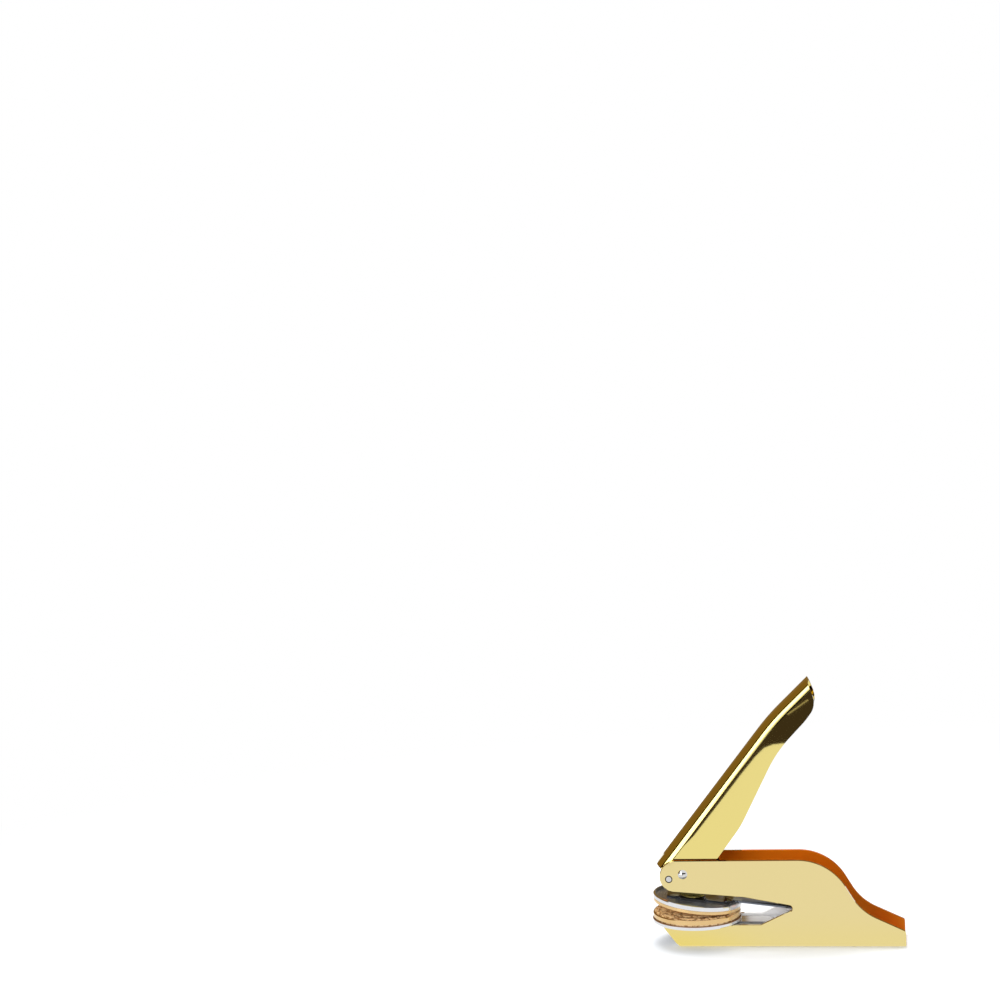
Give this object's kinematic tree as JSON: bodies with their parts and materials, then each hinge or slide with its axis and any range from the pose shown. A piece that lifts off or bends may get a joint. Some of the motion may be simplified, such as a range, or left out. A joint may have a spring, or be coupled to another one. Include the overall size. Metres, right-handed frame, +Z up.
{
  "type": "seal embosser",
  "caption": "Hand-held desk press that embosses paper between two round dies: a lever with eccentric cams in a folded body, and a removable die cassette.",
  "frame": {"origin": "centre of the flat underside of the body, midway between its front and rear ends", "axes": "+Z up, +X from the dies towards the tail of the body, +Y across it, along the lever's pivot"},
  "size_m": [0.1251, 0.0446, 0.1327],
  "materials": {
    "body_gold": "polished gold plate over sheet steel",
    "lever_gold": "polished gold plate over sheet steel",
    "holder_chrome": "bright chrome",
    "die_brass": "turned and engraved brass",
    "polished_steel": "polished steel",
    "plain_steel": "plain steel",
    "zinc_steel": "bright zinc plate",
    "spring_steel": "polished spring strip",
    "cam_steel": "hardened and blackened steel",
    "bedding": "thin rubberised cork"
  },
  "bodies": {
    "frame": {"frame_channel": "body_gold", "pivot_rivet": "polished_steel", "pivot_sleeve": "plain_steel", "pivot_washers": "plain_steel", "stop_pins": "polished_steel", "slide_rail": "zinc_steel", "rail_rivets": "plain_steel", "detent_spring": "spring_steel", "detent_rivet": "plain_steel"},
    "lever": {"lever": "lever_gold", "cam_cheeks": "cam_steel", "cam_rivets": "plain_steel"},
    "cassette": {"leaf_spring": "spring_steel", "lower_cup": "holder_chrome", "lower_seat": "bedding", "lower_die": "die_brass", "cassette_runners": "plain_steel", "lower_leaf_rivets": "plain_steel"},
    "upper_die": {"upper_cup": "holder_chrome", "upper_seat": "bedding", "upper_die": "die_brass", "pressure_saddle": "cam_steel", "upper_leaf_rivets": "plain_steel"}
  },
  "joints": [
    {"name": "lever_pivot", "type": "hinge", "parent": "frame", "child": "lever", "pos_m": [-0.0483, 0, 0.0371], "axis": [0, 1, 0], "range_deg": [0, 46], "stiffness_Nm_per_rad": 0.5, "springref_deg": -28.65},
    {"name": "cassette_slide", "type": "slide", "parent": "frame", "child": "cassette", "axis": [-1, 0, 0], "range_m": [0, 0.075]},
    {"name": "upper_die_tilt", "type": "hinge", "parent": "cassette", "child": "upper_die", "pos_m": [-0.018, 0, 0.0164], "axis": [0, -1, 0], "range_deg": [0, 6.9], "deforming": ["leaf_spring"]}
  ],
  "couplings": [
    {"joint": "upper_die_tilt", "follows": "lever_pivot", "ratio": 0.15}
  ]
}
